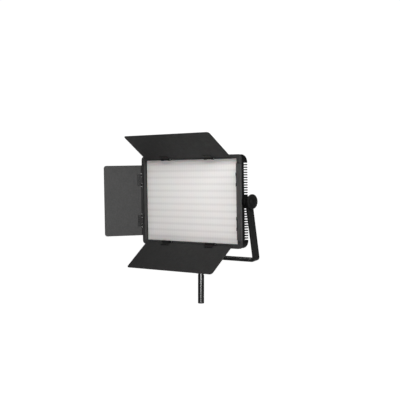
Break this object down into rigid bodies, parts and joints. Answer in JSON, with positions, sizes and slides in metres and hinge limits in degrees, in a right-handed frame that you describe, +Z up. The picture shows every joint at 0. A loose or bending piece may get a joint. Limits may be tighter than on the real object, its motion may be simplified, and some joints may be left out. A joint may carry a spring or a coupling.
{
  "type": "led panel light",
  "caption": "Flat rectangular LED panel light with four hinged barndoor leaves, finned back, rear controls, side-knob yoke and a tilting clamp on a round stand spigot.",
  "frame": {"origin": "foot of the stand spigot's round wall, on its axis", "axes": "+Z up along the spigot, the light faces -Y, X runs along the tilt axis"},
  "size_m": [0.4754, 0.167, 0.4359],
  "materials": {
    "powder_coat": "fine black powder coat",
    "yoke_paint": "satin black paint",
    "housing_black": "black anodised",
    "spigot_black": "gloss black anodised",
    "cast_black": "painted casting",
    "black_plastic": "fine moulded texture",
    "dial_plastic": "soft satin",
    "button_rubber": "matt",
    "rocker_plastic": "gloss",
    "opal": "frosted opal acrylic",
    "foam": "foam",
    "pad_grey": "matt",
    "white_board": "white solder mask",
    "led_yellow": "phosphor",
    "screw_steel": "black oxide",
    "bright_steel": "zinc plated",
    "hinge_steel": "black",
    "rivet_black": "black",
    "screen": "tinted window",
    "board_green": "solder mask",
    "supply_metal": "folded sheet",
    "ribbon_grey": "flat cable"
  },
  "bodies": {
    "spigot": {"stand_spigot": "spigot_black"},
    "receiver": {"receiver_socket": "cast_black"},
    "clamp": {"clamp_knob": "black_plastic", "clamp_screw": "screw_steel"},
    "yoke": {"yoke_bracket": "yoke_paint", "yoke_fork": "yoke_paint", "fork_rivets": "screw_steel", "knuckle_bolt": "screw_steel", "knob_washers": "screw_steel"},
    "knuckle_lock": {"knuckle_knob": "black_plastic", "knuckle_nut": "screw_steel"},
    "head": {"barndoor_frame": "powder_coat", "frame_screws": "screw_steel", "front_bezel": "black_plastic", "diffuser_panel": "opal", "diffuser_gasket": "foam", "thermal_pad": "pad_grey", "led_board": "white_board", "led_rows": "led_yellow", "rear_housing": "housing_black", "pivot_inserts": "bright_steel", "friction_spacers": "black_plastic", "control_housing": "black_plastic", "control_screws": "screw_steel", "display_window": "screen", "display_module": "board_green", "potentiometers": "bright_steel", "button_switches": "black_plastic", "rocker_case": "black_plastic", "mains_inlet": "black_plastic", "inlet_pins": "bright_steel", "power_supply": "supply_metal", "driver_board": "board_green", "led_ribbon": "ribbon_grey", "hinge_brackets": "hinge_steel", "hinge_pins": "bright_steel"},
    "tilt_knob_left": {"tilt_knob_left": "black_plastic", "tilt_stud_left": "screw_steel"},
    "tilt_knob_right": {"tilt_knob_right": "black_plastic", "tilt_stud_right": "screw_steel"},
    "dimmer_dial": {"dimmer_dial": "dial_plastic", "dimmer_shaft": "bright_steel"},
    "colour_dial": {"colour_dial": "dial_plastic", "colour_shaft": "bright_steel"},
    "mode_button": {"mode_button": "button_rubber"},
    "channel_button": {"channel_button": "button_rubber"},
    "power_rocker": {"power_rocker": "rocker_plastic"},
    "leaf_top": {"leaf_top": "powder_coat", "hinge_plates_top": "hinge_steel", "leaf_rivets_top": "rivet_black"},
    "leaf_bottom": {"leaf_bottom": "powder_coat", "hinge_plates_bottom": "hinge_steel", "leaf_rivets_bottom": "rivet_black"},
    "leaf_left": {"leaf_left": "powder_coat", "hinge_plates_left": "hinge_steel", "leaf_rivets_left": "rivet_black"},
    "leaf_right": {"leaf_right": "powder_coat", "hinge_plates_right": "hinge_steel", "leaf_rivets_right": "rivet_black"}
  },
  "joints": [
    {"name": "pan", "type": "hinge", "parent": "spigot", "child": "receiver", "pos_m": [0, 0, 0.088], "axis": [0, 0, 1], "continuous": true},
    {"name": "clamp_knob_turn", "type": "hinge", "parent": "receiver", "child": "clamp", "pos_m": [-0.0185, 0, 0.088], "axis": [-1, 0, 0], "continuous": true},
    {"name": "yoke_tilt", "type": "hinge", "parent": "receiver", "child": "yoke", "pos_m": [0, 0, 0.1065], "axis": [1, 0, 0], "range_deg": [-45, 30]},
    {"name": "knuckle_knob_turn", "type": "hinge", "parent": "yoke", "child": "knuckle_lock", "pos_m": [0.017, 0, 0.1065], "axis": [1, 0, 0], "continuous": true},
    {"name": "head_tilt", "type": "hinge", "parent": "yoke", "child": "head", "pos_m": [0, -0.02666, 0.26683], "axis": [1, 0, 0], "range_deg": [-75, 8]},
    {"name": "tilt_knob_left_turn", "type": "hinge", "parent": "yoke", "child": "tilt_knob_left", "pos_m": [-0.197, -0.02666, 0.26683], "axis": [-1, 0, 0], "continuous": true},
    {"name": "tilt_knob_right_turn", "type": "hinge", "parent": "yoke", "child": "tilt_knob_right", "pos_m": [0.197, -0.02666, 0.26683], "axis": [1, 0, 0], "continuous": true},
    {"name": "leaf_top_hinge", "type": "hinge", "parent": "head", "child": "leaf_top", "pos_m": [0, -0.05159, 0.37376], "axis": [-1, 0, 0], "range_deg": [-128.3, 46.7]},
    {"name": "leaf_bottom_hinge", "type": "hinge", "parent": "head", "child": "leaf_bottom", "pos_m": [0, -0.04641, 0.15882], "axis": [1, 0, 0], "range_deg": [-130.9, 34.1]},
    {"name": "leaf_left_hinge", "type": "hinge", "parent": "head", "child": "leaf_left", "pos_m": [-0.1753, -0.049, 0.26629], "axis": [0, 0.0241, -0.9997], "range_deg": [-115.9, 59.1]},
    {"name": "leaf_right_hinge", "type": "hinge", "parent": "head", "child": "leaf_right", "pos_m": [0.1753, -0.049, 0.26629], "axis": [0, -0.0241, 0.9997], "range_deg": [-139.3, 35.7]},
    {"name": "dimmer_dial_turn", "type": "hinge", "parent": "head", "child": "dimmer_dial", "pos_m": [-0.033, 0.00602, 0.25961], "axis": [0, 0.9997, 0.0241], "range_deg": [-150, 150]},
    {"name": "colour_dial_turn", "type": "hinge", "parent": "head", "child": "colour_dial", "pos_m": [0.033, 0.00602, 0.25961], "axis": [0, 0.9997, 0.0241], "range_deg": [-150, 150]},
    {"name": "mode_button_press", "type": "slide", "parent": "head", "child": "mode_button", "axis": [0, -0.9997, -0.0241], "range_m": [0, 0.0012], "stiffness_N_per_m": 500},
    {"name": "channel_button_press", "type": "slide", "parent": "head", "child": "channel_button", "axis": [0, -0.9997, -0.0241], "range_m": [0, 0.0012], "stiffness_N_per_m": 500},
    {"name": "power_rocker_tip", "type": "hinge", "parent": "head", "child": "power_rocker", "pos_m": [0.034, 0.00696, 0.22062], "axis": [0, -0.0241, 0.9997], "range_deg": [-8, 8]}
  ]
}
